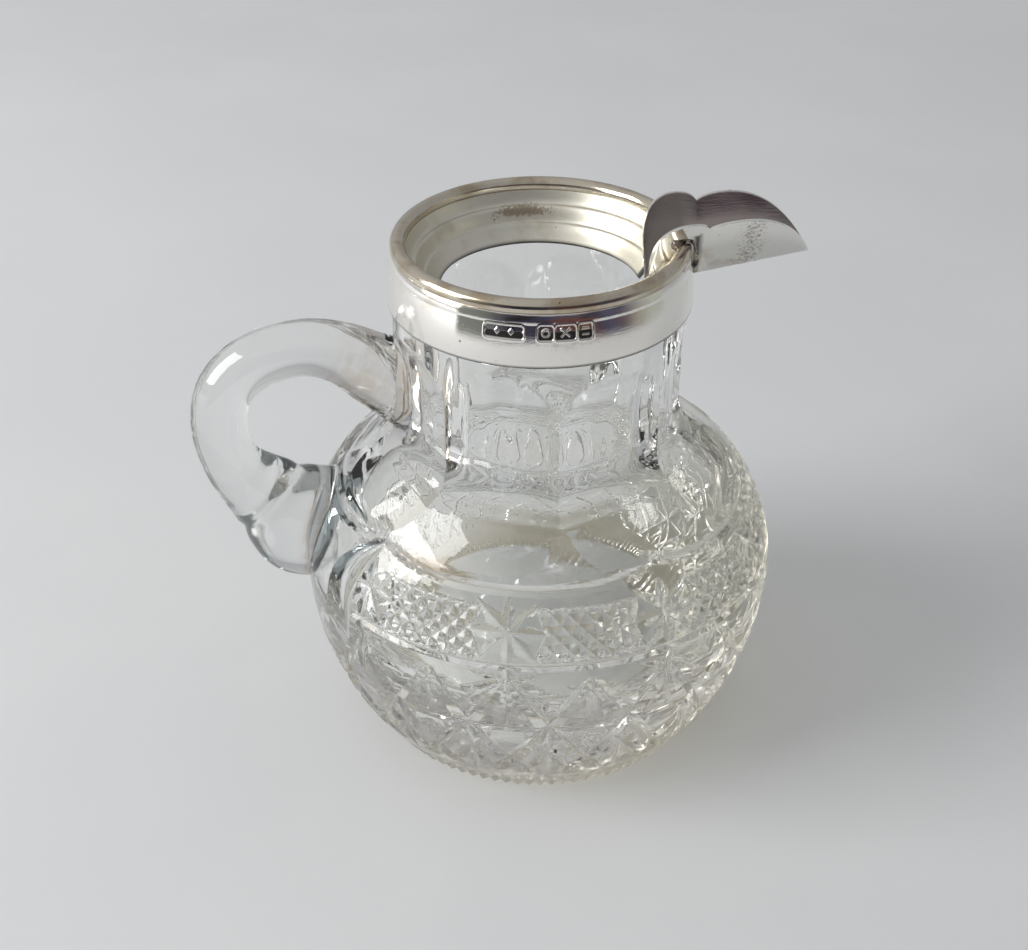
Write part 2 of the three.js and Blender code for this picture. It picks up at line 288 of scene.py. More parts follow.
def smoothLine(points, steps):
    # a rounded line through the points, the same number of steps to each stretch
    points = np.array(points, float)
    padded = np.vstack([2 * points[0] - points[1], points, 2 * points[-1] - points[-2]])
    made = []
    for i in range(len(points) - 1):
        a, b, c, d = padded[i:i + 4]
        t = np.linspace(0, 1, steps, endpoint=False)[:, None]
        made.append(0.5 * (2 * b + (c - a) * t + (2 * a - 5 * b + 4 * c - d) * t ** 2
                           + (3 * b - 3 * c + d - a) * t ** 3))
    made.append(points[-1:])
    return np.vstack(made)


glassTint = {
    "clear": (0.98, 0.985, 0.975, 1),
    "thick": (0.53, 0.515, 0.39, 1),  # olive: deeper at the foot where the glass is thick, and painted shade on the lip's side, away from the window
    "stain": (0.66, 0.46, 0.26, 1),
    "joint": (0.1, 0.13, 0.14, 1),
    "frost": (0.99, 0.99, 0.985, 1),
    "shadow": (0.97, 0.97, 0.955, 1),
}
refraction = 1.53


def cutGlass():
    made = Finish("cut_glass_clear")
    frost = made.painted("frost")
    colour = made.mix(frost * 0.6, glassTint["clear"], glassTint["frost"])
    # olive tint from the mesh: thick glass at the foot, and painted shade on the lip's side
    thick = made.painted("thick") + (made.noise(0.06, 3) - 0.5) * 0.2
    colour = made.mix(thick, colour, glassTint["thick"])
    colour = made.mix(made.painted("stain"), colour, glassTint["stain"])
    film = made.span(made.noise(0.9, 5), 0.56, 0.75)
    sockets = {
        "Base Color": colour,
        "Roughness": 0.004 + film * 0.03 + frost * 0.3,
        "Normal": made.bump(made.noise(0.12, 2), 0.00006),
        "Transmission Weight": 1.0,
        "IOR": refraction,
    }
    return made.close(sockets, made.span(made.height(), 0.006, 0.011, 1.0, 0.48))


def blownGlass():
    made = Finish("blown_glass_clear")
    stain = made.painted("stain")
    patchy = stain * made.span(made.noise(0.7, 4), 0.35, 0.6, 0.3, 1)
    colour = made.mix(patchy, (0.98, 0.987, 0.98, 1), glassTint["stain"])
    colour = made.mix(made.span(stain, 0.6, 0.85), colour, glassTint["joint"])
    ripple = made.noise(0.1, 2, (1, 1, 0.5))
    sockets = {
        "Base Color": colour,
        "Roughness": 0.003 + made.span(made.noise(1.1, 4), 0.55, 0.8) * 0.03,
        "Normal": made.bump(ripple, 0.00012),
        "Transmission Weight": 1.0,
        "IOR": refraction,
    }
    return made.close(sockets, 0.8)


pitBrown = (0.09, 0.06, 0.04, 1)
shadeAndGrimeBlack = (0.025, 0.022, 0.022, 1)


def silver(name, bright, tarnish, amount, rough, patch=None):
    # tarnish lies in soft clouds, in fine speckle, and where the mesh says so; the mesh's dark mask also
    # paints shade, with dirt, near black at joints and inside the lip
    made = Finish(name)
    cloud = made.span(made.noise(0.16, 5), 0.62 - 0.3 * amount, 0.8 - 0.2 * amount)
    speckle = made.spots(1.5, 0.66)
    pits = made.spots(0.75, 0.735, 0.02)
    if patch:
        worn = made.span(made.painted("patch") + made.noise(1.7, 6, (1, 1, 1), 0.7), 1.02, 1.2)
        pits = pits * (1 - worn)
    grime = made.painted("grime")
    colour = made.mix(cloud * 0.55, bright, tarnish)
    colour = made.mix(speckle * (0.15 + 0.35 * amount), colour, tarnish)
    colour = made.mix(pits * 0.8, colour, pitBrown)
    if patch:
        colour = made.mix(worn * 0.8, colour, patch)
    # near black where the mesh's dark mask says: painted shade and dirt at joints and inside the lip, and
    # darker marks and edges
    colour = made.mix(grime, colour, shadeAndGrimeBlack)
    scratches = made.noise(0.5, 6, (1, 1, 9), 0.7)
    shape = made.bump(made.noise(0.09, 2), 0.00012, made.bump(scratches, 0.000012))
    sockets = {
        "Base Color": colour,
        "Metallic": 1 - grime * 0.6,
        "Roughness": rough + cloud * 0.08 + speckle * 0.05 + grime * 0.35 + (scratches - 0.5) * 0.06,
        "Normal": made.bump(pits, 0.00008, shape, True),
    }
    return made.close(sockets)


def plasterFill():
    made = Finish("old_plaster")
    grain = made.noise(1.4, 6)
    damp = made.span(made.noise(0.2, 4), 0.4, 0.7)
    colour = made.mix(damp, (0.74, 0.69, 0.58, 1), (0.52, 0.43, 0.3, 1))
    sockets = {"Base Color": colour, "Roughness": 0.8 + grain * 0.15, "Normal": made.bump(grain, 0.00015)}
    return made.close(sockets)


def darkSolder():
    made = Finish("dark_solder")
    lumps = made.noise(0.9, 5)
    dirt = made.span(made.noise(0.6, 4), 0.36, 0.54)
    colour = made.mix(dirt, (0.4, 0.34, 0.29, 1), (0.035, 0.028, 0.025, 1))
    sockets = {
        "Base Color": colour,
        "Metallic": 1 - dirt * 0.5,
        "Roughness": 0.2 + dirt * 0.35,
        "Normal": made.bump(lumps, 0.0002),
    }
    return made.close(sockets)


bodyGlass = cutGlass()
handleGlass = blownGlass()
sterling = silver("sterling_silver", (0.93, 0.905, 0.86, 1), (0.55, 0.44, 0.3, 1), 0.15, 0.07)
wireSilver = silver("worn_gilt_wire", (0.66, 0.6, 0.5, 1), (0.34, 0.23, 0.12, 1), 0.55, 0.14)
liningSilver = silver("lining_silver", (0.78, 0.755, 0.67, 1), (0.55, 0.49, 0.38, 1), 0.4, 0.4,
                      (0.34, 0.25, 0.16, 1))
lipSilver = silver("lip_silver", (0.95, 0.935, 0.9, 1), (0.6, 0.5, 0.4, 1), 0.25, 0.12,
                   (0.3, 0.235, 0.215, 1))
bedding = plasterFill()
solderMetal = darkSolder()
print("finishes made")


# sizes that all the pieces share, in millimetres; the frame gives those that it can
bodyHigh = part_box("glass_body")[1]
collarLow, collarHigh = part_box("collar_band")
wireLow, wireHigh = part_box("rim_wire")
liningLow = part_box("inner_lining")[0]
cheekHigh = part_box("spout_cheek_right")[1]

jug = {
    "belly": bodyHigh.x / mm,
    "neckTop": bodyHigh.z / mm,
    "collarFoot": collarLow.z / mm,
    "collar": collarHigh.y / mm,
    "rim": wireHigh.z / mm,
    "wire": (wireHigh.z - wireLow.z) / 2 / mm,
    "tip": cheekHigh.x / mm,
    "liningFoot": liningLow.z / mm,
    "foot": 28.7,
    "bellyHeight": 30.8,
    "shoulder": 55.2,
    "neck": 23.6,
    "neckSeat": 21.9,  # the neck where the collar covers it
    "neckBore": 17.0,
    "floor": 7.0,
    "bellyWall": 4.0,
}

# the pouring lip; its keel is the line where the two cheeks meet
lip = {
    "halfAngle": math.radians(27.5),
    "keelRise": 2.6,
    "keelSlope": 0.165,
    "inner": 6.8,  # how far it reaches in past the collar
    "wall": 0.8,
    "crest": 3.0,
    "cusp": 1.9,
}


def keelAt(x):
    return jug["collarFoot"] + lip["keelRise"] + (x - jug["collar"]) * lip["keelSlope"]


def bellyAt(z):
    # radius of the blown body: an ellipse each side of the widest place, and the neck above them
    z = np.asarray(z, float)
    end = np.where(z < jug["bellyHeight"], jug["foot"], jug["neck"])
    reach = np.where(z < jug["bellyHeight"], jug["bellyHeight"], jug["shoulder"] - jug["bellyHeight"])
    semi = reach / np.sqrt(1 - (end / jug["belly"]) ** 2)
    curve = jug["belly"] * np.sqrt(np.maximum(1 - ((z - jug["bellyHeight"]) / semi) ** 2, 0))
    return np.where(z < jug["shoulder"], curve, jug["neck"])


# the wheel's work: heights and lengths in millimetres, turns in degrees
cutting = {
    "columns": 960,
    "rowStep": 0.25,
    "starPitch": 38.7,  # degrees
    "firstStar": -143.0,
    "stars": 8,
    "starHeight": 40.0,
    "armReach": (7.6, 7.4, 6.2, 7.4),  # four arms from the right, and the same four again
    "armDepth": 1.05,
    "armHalfWidth": 2.4,
    "beltFoot": 34.8,
    "beltTop": 45.8,
    "diamond": 11,  # columns and rows of the mesh to one diamond
    "diamondDepth": 0.55,
    "lowStar": 32.0,
    "lowArms": ((-90, 10.5, 0.9, 1.8), (90, 3.5, 0.9, 1.8), (-16, 9.5, 0.7, 1.4), (-36, 9, 0.7, 1.4),
                (14, 7, 0.6, 1.2)),  # angle, length, depth, half width
    "netDrop": 20.4,  # from a star down to where its arms meet its neighbours'
    "netDepth": 0.8,
    "netHalfWidth": 1.4,
    "fanHeight": 29.5,
    "fanArms": ((-90, 8, 0.65, 1.5), (-52, 7, 0.65, 1.5), (24, 5, 0.65, 1.5)),
    "patchHeight": 16.5,
    "patchDiamond": 7,
    "patchDepth": 0.35,
    "lowRing": 21.6,
    "prismHeight": 14.5,
    "prismArms": ((-90, 9, 0.8, 1.7), (-58, 9, 0.8, 1.7), (90, 9, 0.8, 1.7), (58, 9, 0.8, 1.7)),
    "teeth": 92,
    "toothDepth": 0.6,
    "panelMiddle": 172.5,  # uncut glass under the handle, and the hollow arch round it
    "archFoot": 36.0,
    "archAt": 35.5,
    "archLean": 9.0,
    "archWidth": 3.4,
    "archDepth": 1.1,
    "cusp": 1.7,
    "facetEnd": 47.4,
    "throat": 4.5,  # how gently the bore opens into the belly
    "ridge": 53.3,
    "coveTop": 58.6,
    "fluteCount": 8,
    "fluteArch": 8.0,
    "fluteStart": 3.0,
    "fluteHollow": 0.2,
}


def wrapped(degrees):
    return (degrees + 180) % 360 - 180


def groove(distance, depth, halfWidth):
    return np.maximum(depth * (1 - np.abs(distance) / halfWidth), 0)


def hollowCut(distance, depth, halfWidth):
    return np.maximum(depth * (1 - (distance / halfWidth) ** 2), 0)


def splitCut(across, up, angle, length, depth, halfWidth):
    # a mitre cut that starts deep at the origin and runs out along the angle
    turn = math.radians(angle)
    along = across * math.cos(turn) + up * math.sin(turn)
    beside = up * math.cos(turn) - across * math.sin(turn)
    root = np.where(along > 0, 1 - along / length, 1 + along / (0.15 * length)) * depth
    return np.maximum(root - np.abs(beside) * depth / halfWidth, 0)


def mirroredCuts(across, up, arms):
    # each arm has a twin on the other side
    made = 0
    for angle, length, depth, halfWidth in arms:
        for side in (angle, 180 - angle):
            made = np.maximum(made, splitCut(across, up, side, length, depth, halfWidth))
    return made


def diamondCut(columns, rows, pitch, depth):
    # crossed cuts that meet the mesh's own corners, which keeps their edges crisp
    made = 0
    for line in (columns + rows, columns - rows):
        made = np.maximum(made, depth * (1 - 2 * np.abs(line / pitch - np.round(line / pitch))))
    return made


def between(value, low, high, soft):
    return capped((value - low) / soft) * capped((high - value) / soft)


def cutPattern(degrees, z):
    # depth of the cutting in millimetres, over a grid of angles and heights
    radius = bellyAt(z)
    fine = np.linspace(0, jug["shoulder"], 800)
    length = np.concatenate([[0], np.cumsum(np.hypot(np.diff(fine), np.diff(bellyAt(fine))))])
    run = np.interp(z, fine, length)

    def above(height):
        return run - np.interp(height, fine, length)

    fromPanel = np.abs(wrapped(degrees - cutting["panelMiddle"]))
    spread = (cutting["stars"] - 1) * cutting["starPitch"]
    fromFirst = wrapped(degrees - cutting["firstStar"] - spread / 2) + spread / 2
    nearest = np.clip(np.round(fromFirst / cutting["starPitch"]), 0, cutting["stars"] - 1)
    offAxis = fromFirst - nearest * cutting["starPitch"]
    halfPitch = cutting["starPitch"] / 2
    across = np.radians(offAxis) * radius
    middle = np.radians(np.abs(offAxis) - halfPitch) * radius
    quarter = np.radians(np.abs(offAxis) - halfPitch / 2) * radius

    # star in the belt, and the diamonds beside it
    up = above(cutting["starHeight"])
    depth = 0
    for arm in range(8):
        cut = splitCut(across, up, 45 * arm, cutting["armReach"][arm % 4], cutting["armDepth"],
                       cutting["armHalfWidth"])
        depth = np.maximum(depth, cut)
    columns = degrees * cutting["columns"] / 360
    rows = z / cutting["rowStep"]
    diamonds = diamondCut(columns, rows, cutting["diamond"], cutting["diamondDepth"])
    gate = between(up, -4.6, 4.0, 0.4) * capped((np.abs(across) + 0.35 * np.abs(up) - 5.6) / 0.4)
    depth = np.maximum(depth, diamonds * gate)

    # ring under the belt, and the star under it, whose long arms cross on the lower belly
    depth = np.maximum(depth, groove(above(cutting["beltFoot"]), 0.55, 0.75))
    low = above(cutting["lowStar"])
    depth = np.maximum(depth, mirroredCuts(across, low, cutting["lowArms"]))
    lift = low / cutting["netDrop"]
    turn = offAxis / halfPitch
    scale = 1 / np.hypot(1 / (np.radians(halfPitch) * radius), 1 / cutting["netDrop"])
    gate = between(run, 9.5, np.interp(cutting["lowStar"], fine, length) + 0.5, 0.8)
    for line in (turn - lift, turn + lift):
        away = (line - np.round(line)) * scale
        depth = np.maximum(depth, groove(away, cutting["netDepth"], cutting["netHalfWidth"]) * gate)
    depth = np.maximum(depth, mirroredCuts(middle, above(cutting["fanHeight"]), cutting["fanArms"]))

    # small diamonds in every other field, then the low ring and the prisms down to the foot
    patch = capped((4.0 - np.abs(above(cutting["patchHeight"])) - np.abs(middle) * 0.62) / 0.4)
    diamonds = diamondCut(columns, rows, cutting["patchDiamond"], cutting["patchDepth"])
    depth = np.maximum(depth, diamonds * patch)
    depth = np.maximum(depth, groove(above(cutting["lowRing"]), 0.5, 0.7))
    depth = np.maximum(depth, mirroredCuts(quarter, above(cutting["prismHeight"]), cutting["prismArms"]))
    tooth = np.abs((degrees * cutting["teeth"] / 360) % 1 - 0.5) * 2
    depth = np.maximum(depth, cutting["toothDepth"] * capped(1 - run / 8) * tooth)

    # the belt stops at a broad hollow arch round the uncut panel
    climb = capped((z - cutting["archFoot"]) / (cutting["facetEnd"] - cutting["archFoot"]))
    arch = cutting["archAt"] + cutting["archLean"] * climb ** 2
    width = cutting["archWidth"] * (1 - climb ** 3) + 0.3
    fromArch = np.radians(fromPanel - arch) * radius
    cut = capped((fromArch + 0.5 * width) / 0.5)
    sill = capped((z - 20) / 4)
    depth = depth * np.maximum(cut, 1 - sill)
    shown = capped((z - 22) / 12) * capped((48 - z) / 1.5)
    depth = np.maximum(depth, hollowCut(fromArch, cutting["archDepth"], width) * shown)

    # ring under the shoulder, with a cusp over every other star
    cusp = np.abs(fromFirst / (2 * cutting["starPitch"]) % 1 - 0.5) * 2
    ringAt = cutting["beltTop"] + cutting["cusp"] * cusp ** 4 * capped((fromPanel - 15) / 15)
    depth = np.maximum(depth, groove(run - np.interp(ringAt, fine, length), 0.55, 0.9))
    return depth


def fluteShare(z):
    # 1 where a flute is a full flat, 0 where it has run out
    top = jug["collarFoot"] - cutting["fluteStart"]
    arched = 1 - capped((z - top + cutting["fluteArch"]) / cutting["fluteArch"]) ** 2
    rise = (z - cutting["facetEnd"]) / (cutting["ridge"] - cutting["facetEnd"])
    return np.where(z >= top, 0, arched) * np.sqrt(capped(rise))


def shoulderLine(z):
    # the blown body, with the neck's foot sweeping out to a ridge on the shoulder
    low, high = cutting["ridge"], cutting["coveTop"]
    flare = float(bellyAt(low)) - jug["neck"]
    fullSweep = 0.9
    sweep = fullSweep * capped((high - z) / (high - low))
    cove = jug["neck"] + flare * (1 - np.sqrt(1 - sweep ** 2)) / (1 - math.sqrt(1 - fullSweep ** 2))
    foot = 0.5 * capped(1 - z / 3)
    return np.where(z < low, bellyAt(z) + foot, cove)


def creasedFaces(depth):
    # two triangles to each square of the grid, split the way that a crease runs
    rows, columns = depth.shape
    first = np.arange(rows - 1)[:, None] * columns
    here = np.arange(columns)[None, :]
    after = (here + 1) % columns
    a, b, c, d = first + here, first + after, first + columns + after, first + columns + here
    flat = depth.reshape(-1)
    alongFirst = np.abs(flat[a] - flat[c]) < np.abs(flat[b] - flat[d])
    one = np.where(alongFirst[..., None], np.stack([a, b, c], -1), np.stack([a, b, d], -1))
    two = np.where(alongFirst[..., None], np.stack([a, c, d], -1), np.stack([b, c, d], -1))
    return np.concatenate([one, two]).reshape(-1, 3)


staining = {
    "ringHeight": 46.6,
    "ringWidth": 0.9,
    "ringAt": -128,
    "ringSpread": 16,
    "footTop": 30,
    "seams": ((17, 1.0, 0.8), (45, 1.1, 0.7)),  # degrees from the handle, width, strength
    # olive tint: up to the first height at the foot, and painted shade building over the second reach
    # towards the lip
    "thickTop": 18,
    "shadedSide": 34,
    "frostAt": 0.16,  # how sharp a cut is that stayed fully grey
}


def glassBody():
    columns = cutting["columns"]
    angles = wholeTurn(columns)
    degrees = np.degrees(angles)[None, :]
    step = cutting["rowStep"]
    heights = np.concatenate([
        np.arange(0, cutting["facetEnd"] + 1.2, step),
        np.arange(cutting["facetEnd"] + 1.3, cutting["coveTop"], 1.2 * step),
        np.arange(cutting["coveTop"] + 0.3, jug["collarFoot"] - 0.5, 3.4 * step),
        [jug["collarFoot"] - 0.3],
    ])[:, None]
    radius = shoulderLine(heights)
    slope = (shoulderLine(heights + 0.05) - shoulderLine(np.maximum(heights - 0.05, 0))) / 0.1
    leanOut = 1 / np.hypot(1, slope)
    leanUp = -slope * leanOut
    depth = cutPattern(degrees, heights) * (heights < cutting["facetEnd"] + 1)

    pitch = 360 / cutting["fluteCount"]
    apothem = math.cos(math.radians(pitch / 2))
    fromMiddle = np.radians(degrees % pitch - pitch / 2)
    hollow = cutting["fluteHollow"] * (1 - (np.degrees(fromMiddle) / (pitch / 2)) ** 2)
    share = fluteShare(heights)
    flat = radius * (1 + share * (apothem - 1)) / np.cos(fromMiddle)
    cutRadius = np.minimum(radius, flat) - hollow * share
    cutRadius = cutRadius - groove(heights - cutting["ridge"] + 1.0, 0.2, 0.6)
    outer = np.stack([cutRadius - depth * leanOut, heights - depth * leanUp + 0 * degrees], -1)

    # underneath: ground nearly flat, with a faint star of long cuts round the middle
    under = np.linspace(0.02, jug["foot"] - 0.9, 26)[:, None]
    ray = np.abs(degrees / 15 % 1 - 0.5) * 2
    starDepth = 0.1 * capped(1 - (under / 15) ** 2) * capped(under / 6) * (1 - ray)
    dish = 0.12 * capped(1 - (under / jug["foot"]) ** 2)
    base = np.stack([under + 0 * degrees, dish + starDepth], -1)

    # the seat inside the collar, and down the bore to the middle of the floor
    neckTop, seat, bore = jug["neckTop"], jug["neckSeat"], jug["neckBore"]
    widestAt = jug["bellyHeight"]
    innerBelly = jug["belly"] - jug["bellyWall"]
    lift = (jug["shoulder"] - widestAt) / math.sqrt(1 - (bore / innerBelly) ** 2)
    heightsIn = np.linspace(jug["liningFoot"] - 2, widestAt, 44, endpoint=False)
    arc = innerBelly * np.sqrt(capped(1 - ((heightsIn - widestAt) / lift) ** 2))
    throat = np.stack([(arc + bore + np.hypot(arc - bore, cutting["throat"])) / 2, heightsIn], -1)
    widest = (innerBelly + bore + math.hypot(innerBelly - bore, cutting["throat"])) / 2
    turns = np.linspace(0, -np.pi / 2, 22)
    inside = np.stack([widest * np.cos(turns), widestAt + (widestAt - jug["floor"]) * np.sin(turns)], -1)
    inside[-1, 0] = 0.02
    mouth = [[seat, heights[-1, 0]], [seat, neckTop], [bore + 0.9, neckTop],
             [bore + 0.2, jug["liningFoot"]]]
    rest = np.repeat(np.vstack([mouth, throat, inside])[:, None, :], columns, 1)
    # the blow mould left shallow hollows down the bore
    inNeck = between(rest[..., 1], jug["shoulder"] - 3, jug["liningFoot"] - 1, 4)
    inNeck = inNeck * (rest[..., 0] < bore + 2)
    broad = 0.16 * np.cos(np.radians(8 * degrees))
    narrow = 0.05 * np.cos(np.radians(24 * degrees))
    rest[..., 0] += (broad + narrow) * inNeck

    grid = np.concatenate([base, outer, rest])
    x = grid[..., 0] * np.cos(angles)
    y = grid[..., 0] * np.sin(angles)
    z = grid[..., 1]
    # the neck's top is notched where the lip passes over it
    notch = keelAt(x) - 2.4 + np.abs(y) / math.tan(lip["halfAngle"])
    lowered = np.minimum(z, np.maximum(notch, jug["collarFoot"] - 0.3))
    z = np.where((x > 0) & (z > jug["collarFoot"]), lowered, z)
    points = np.stack([x, y, z], -1).reshape(-1, 3)
    points = np.vstack([points, [0, 0, grid[0, 0, 1]], [0, 0, grid[-1, 0, 1]]])
    cut = np.concatenate([starDepth, depth, np.zeros((len(rest), columns))])
    faces = np.vstack([creasedFaces(cut), endFans(len(grid), columns)]).tolist()
    piece = newPiece("cut_glass_body", points, faces, bodyGlass, 16)

    # the bottoms and the edges of the cuts stayed a little grey from the wheel
    bend = np.zeros_like(cut)
    beside = np.roll(cut, 1, 1)[1:-1] + np.roll(cut, -1, 1)[1:-1]
    bend[1:-1] = (cut[:-2] + cut[2:] + beside - 4 * cut[1:-1]) / staining["frostAt"]
    grey = np.where(bend < 0, capped(-bend), 0.5 * capped(bend))
    grey[:len(base) + 1] = 0
    paint(piece, "frost", np.append(grey.reshape(-1), [0, 0]))

    around = degreesOf(points)
    tall = points[:, 2]
    outside = reachOf(points) > bellyAt(tall) - 1.6
    marked = hump(tall - staining["ringHeight"], staining["ringWidth"])
    marked *= capped(1 - np.abs(wrapped(around - staining["ringAt"])) / staining["ringSpread"])
    marked += capped(1 - tall / staining["footTop"]) * 0.3
    onNeck = between(tall, 58, 75, 1.5)
    for away, width, strength in staining["seams"]:
        marked += hump(np.abs(wrapped(around - 180)) - away, width) * onNeck * strength
    paint(piece, "stain", marked * outside)
    # olive tint on the outside: deeper towards the foot, where the glass is thick, and painted shade
    # towards the lip's side, away from the window
    deep = capped(1 - tall / staining["thickTop"])
    deep = deep + 0.8 * capped(points[:, 0] / staining["shadedSide"]) * (tall < 60)
    paint(piece, "thick", capped(deep) * outside)
    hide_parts("glass_body")
    return piece


body = glassBody()
print("glass body cut:", len(body.data.polygons), "faces")


handle = {
    "rod": 4.6,  # half thickness
    "reach": 52.4,  # from the jug's axis
    "top": 71.3,
    "padHeight": 38.5,
    "padHalf": 11.0,
    "padWide": 6.8,
    "rings": 16,  # to each stretch between two stations
    "sides": 72,
    "sink": 0.35,  # how far its ends bite into the body
    "crimpAt": 0.815,  # share of the way from top to pad
    "crimp": 0.5,
    "biteSides": 160,
}


def glassHandle():
    rod, reach, top, pad = handle["rod"], handle["reach"], handle["top"], handle["padHeight"]
    neck = jug["neck"]
    loopMiddle = pad + 0.6 * (top - pad)
    topReach = neck + 14.8
    # reach from the axis, height, half thickness in the loop's plane, half width across it
    stations = [
        [neck - 3, top - 8.2, 7.4, rod + 1.4],
        [neck + 3, top - 4.6, 6.2, rod + 0.5],
        [neck + 8.6, top - 1.2, 5.1, rod],
        [topReach, top, rod, rod],
        [topReach + 0.52 * (reach - topReach), top - 2, rod, rod],
        [reach - 1.7, top - 6.6, rod, rod],
        [reach, loopMiddle, rod, rod],
        [reach - 1.4, loopMiddle - 7.6, rod + 0.2, rod],
        [reach - 6.4, pad + 0.3 * (loopMiddle - pad), rod + 2.6, rod + 0.6],
        [jug["belly"] - 0.6, pad, handle["padHalf"], handle["padWide"]],
        [jug["belly"] - 6, pad - 1.6, handle["padHalf"] - 3, handle["padWide"]],
    ]
    line = smoothLine(stations, handle["rings"])
    forward = unitRows(np.gradient(line[:, :2], axis=0))
    # the crimp where the rod was pressed on to the belly
    share = np.linspace(0, 1, len(line))
    crimp = handle["crimp"] * hump(share - handle["crimpAt"], 0.012)
    turns = wholeTurn(handle["sides"])
    thick = (line[:, 2] - crimp)[:, None] * np.cos(turns)
    wide = (line[:, 3] - crimp)[:, None] * np.sin(turns)
    x = -(line[:, 0][:, None] + forward[:, 1][:, None] * thick)
    z = line[:, 1][:, None] - forward[:, 0][:, None] * thick
    points = np.stack([x, wide, z], -1).reshape(-1, 3)
    sides = handle["sides"]
    points = np.vstack([points, points[:sides].mean(0), points[-sides:].mean(0)])
    faces = aroundQuads(len(line), sides).tolist() + endFans(len(line), sides).tolist()
    piece = newPiece("glass_handle_loop", points, faces, handleGlass, 40)
    faceOutward(piece.data)

    # the ends stop just inside the body's skin
    heights = np.linspace(-4, jug["shoulder"] - 0.01, 60)
    edge = [[bellyAt(max(h, 0)) - handle["sink"], h] for h in heights]
    insideNeck = neck - handle["sink"] - 1.2
    edge += [[insideNeck, jug["shoulder"]], [insideNeck, jug["rim"]]]
    edge = np.array([[0.01, -4]] + edge + [[0.01, jug["rim"]]])
    count = handle["biteSides"]
    around = wholeTurn(count)
    solid = turnedPoints(edge * mm, around).reshape(-1, 3)
    mesh = bpy.data.meshes.new("reach_of_body")
    caps = [list(range(count - 1, -1, -1)), list(range((len(edge) - 1) * count, len(edge) * count))]
    mesh.from_pydata(solid.tolist(), [], aroundQuads(len(edge), count).tolist() + caps)
    cutter = placed("reach_of_body", mesh)
    cutAway(piece, cutter)
    bpy.data.objects.remove(cutter)
    bpy.data.meshes.remove(mesh)
    shadeSmooth(piece.data, 40)

    spots = vertexPlaces(piece)
    gap = reachOf(spots) - bellyAt(spots[:, 2])
    under = capped(1 - np.abs(gap - 6) / 8) * between(spots[:, 2], 54, 70, 3) * 0.5
    topJoint = np.clip(0.55 - gap / 1.5, 0, 0.55)
    padJoint = np.clip(0.85 - gap / 1.2, 0, 0.85)
    paint(piece, "stain", np.maximum(np.where(spots[:, 2] > 50, topJoint, padJoint), under))
    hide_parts("glass_handle")
    return piece


loop = glassHandle()
print("glass handle drawn:", len(loop.data.polygons), "faces")


# the silver mount, in millimetres
mount = {
    "columns": 300,
    "wall": 0.7,
    "rollHeight": 3.6,
    "rollWidth": 3.0,
    "liningWall": 0.6,
    "gap": 0.08,
    "swell": 0.62,
    "markHeight": 5.7,  # above the collar's foot
}
wireAt = [jug["collar"] - mount["rollWidth"] + jug["wire"], jug["rim"] - jug["wire"]]
wireSeat = jug["wire"] + mount["gap"]

# the punched marks: place round the collar in degrees, then half width and half height
marks = [
    {"at": -110.2, "wide": 3.0, "high": 1.05, "motif": "lozenges"},
    {"at": -95.4, "wide": 1.2, "high": 1.18, "motif": "ring"},
    {"at": -88.4, "wide": 1.6, "high": 1.18, "motif": "cross"},
    {"at": -81.2, "wide": 1.1, "high": 1.25, "motif": "bar"},
]


def lipWedge(margin):
    # everything inside the lip's V, opened out by a margin, as one long wedge
    half = lip["halfAngle"]
    start, end, tall = jug["collar"] - lip["inner"] - 5, jug["tip"] + 4, 15
    side = tall * math.tan(half) + margin / math.cos(half)
    low = margin / math.sin(half)
    mesh = bpy.data.meshes.new("lip_way")
    profile = ((0, -low), (side, tall), (-side, tall))
    corners = [[x, y, keelAt(x) + z] for x in (start, end) for y, z in profile]
    faces = [[0, 2, 1], [3, 4, 5], [0, 1, 4, 3], [1, 2, 5, 4], [2, 0, 3, 5]]
    mesh.from_pydata((np.array(corners) * mm).tolist(), [], faces)
    faceOutward(mesh)
    return placed("lip_way", mesh)


lipWay = lipWedge(lip["wall"] + mount["gap"])


def besideLip(spots):
    # distance in millimetres from the face of the lip's V
    away = np.abs(spots[:, 1]) * math.cos(lip["halfAngle"])
    away -= (spots[:, 2] - keelAt(spots[:, 0])) * math.sin(lip["halfAngle"])
    return np.where(spots[:, 0] > 0, np.abs(away - lip["wall"]), 99)


def silverRing(name, outline, material, node, extraDarkening=None, sharp=35):
    angles = wholeTurn(mount["columns"])
    points = turnedPoints(outline, angles).reshape(-1, 3)
    faces = aroundQuads(len(outline), len(angles), closed=True).tolist()
    piece = newPiece(name, points, faces, material, sharp)
    return finishRing(piece, node, extraDarkening, sharp)


def finishRing(piece, node, extraDarkening, sharp):
    # cut the lip's way through it, and paint dirt and shade along the cut
    faceOutward(piece.data)
    cutAway(piece, lipWay)
    shadeSmooth(piece.data, sharp)
    spots = vertexPlaces(piece)
    grime = 0.9 * capped(1 - besideLip(spots) / 0.5)
    if extraDarkening is not None:
        grime = np.maximum(grime, extraDarkening(spots))
    paint(piece, "grime", grime)
    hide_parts(node)
    return piece


